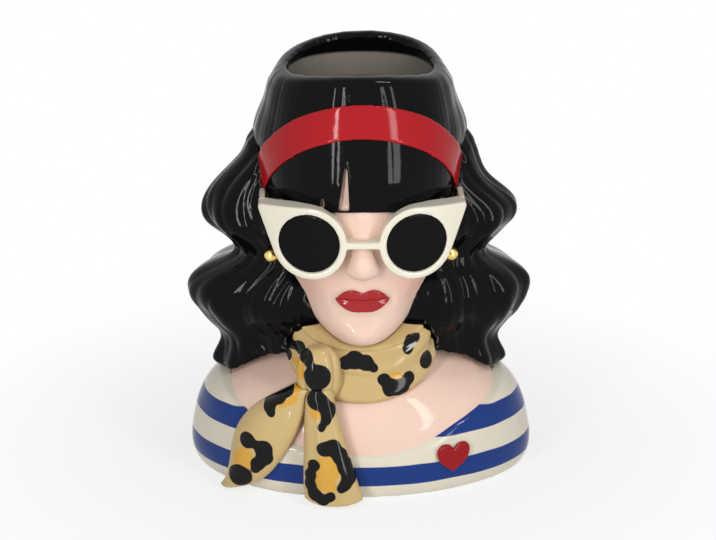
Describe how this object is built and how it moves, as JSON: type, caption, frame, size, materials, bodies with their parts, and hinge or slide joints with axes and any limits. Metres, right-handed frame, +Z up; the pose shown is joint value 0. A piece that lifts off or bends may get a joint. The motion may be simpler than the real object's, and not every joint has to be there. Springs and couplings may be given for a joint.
{
  "type": "head planter",
  "caption": "Glazed ceramic planter in the form of a woman's head and shoulders with waved hair, sunglasses and a scarf, open at the crown for a plant.",
  "frame": {"origin": "middle of the flat foot that the planter stands on", "axes": "+Z up through the open crown, -Y the way the face looks, +X to the viewer's right"},
  "size_m": [0.2041, 0.1542, 0.2488],
  "materials": {
    "skin_glaze": "gloss",
    "shirt_glaze": "gloss",
    "hair_glaze": "gloss",
    "band_glaze": "gloss",
    "frame_glaze": "gloss",
    "lens_glaze": "gloss",
    "lip_glaze": "gloss",
    "scarf_glaze": "gloss",
    "heart_glaze": "gloss",
    "gold_lustre": "polished"
  },
  "bodies": {
    "root": {"shirt_bust": "shirt_glaze", "head_and_chest": "skin_glaze", "hair_crown": "hair_glaze", "hair_waves": "hair_glaze", "hair_fringe": "hair_glaze", "headband": "band_glaze", "sunglasses_front": "frame_glaze", "lens_left": "lens_glaze", "lens_right": "lens_glaze", "temple_left": "frame_glaze", "temple_right": "frame_glaze", "earring_left": "gold_lustre", "earring_right": "gold_lustre", "lips": "lip_glaze", "scarf_wrap": "scarf_glaze", "scarf_knot": "scarf_glaze", "scarf_tail_left": "scarf_glaze", "scarf_tail_right": "scarf_glaze", "heart_badge": "heart_glaze"}
  },
  "joints": []
}
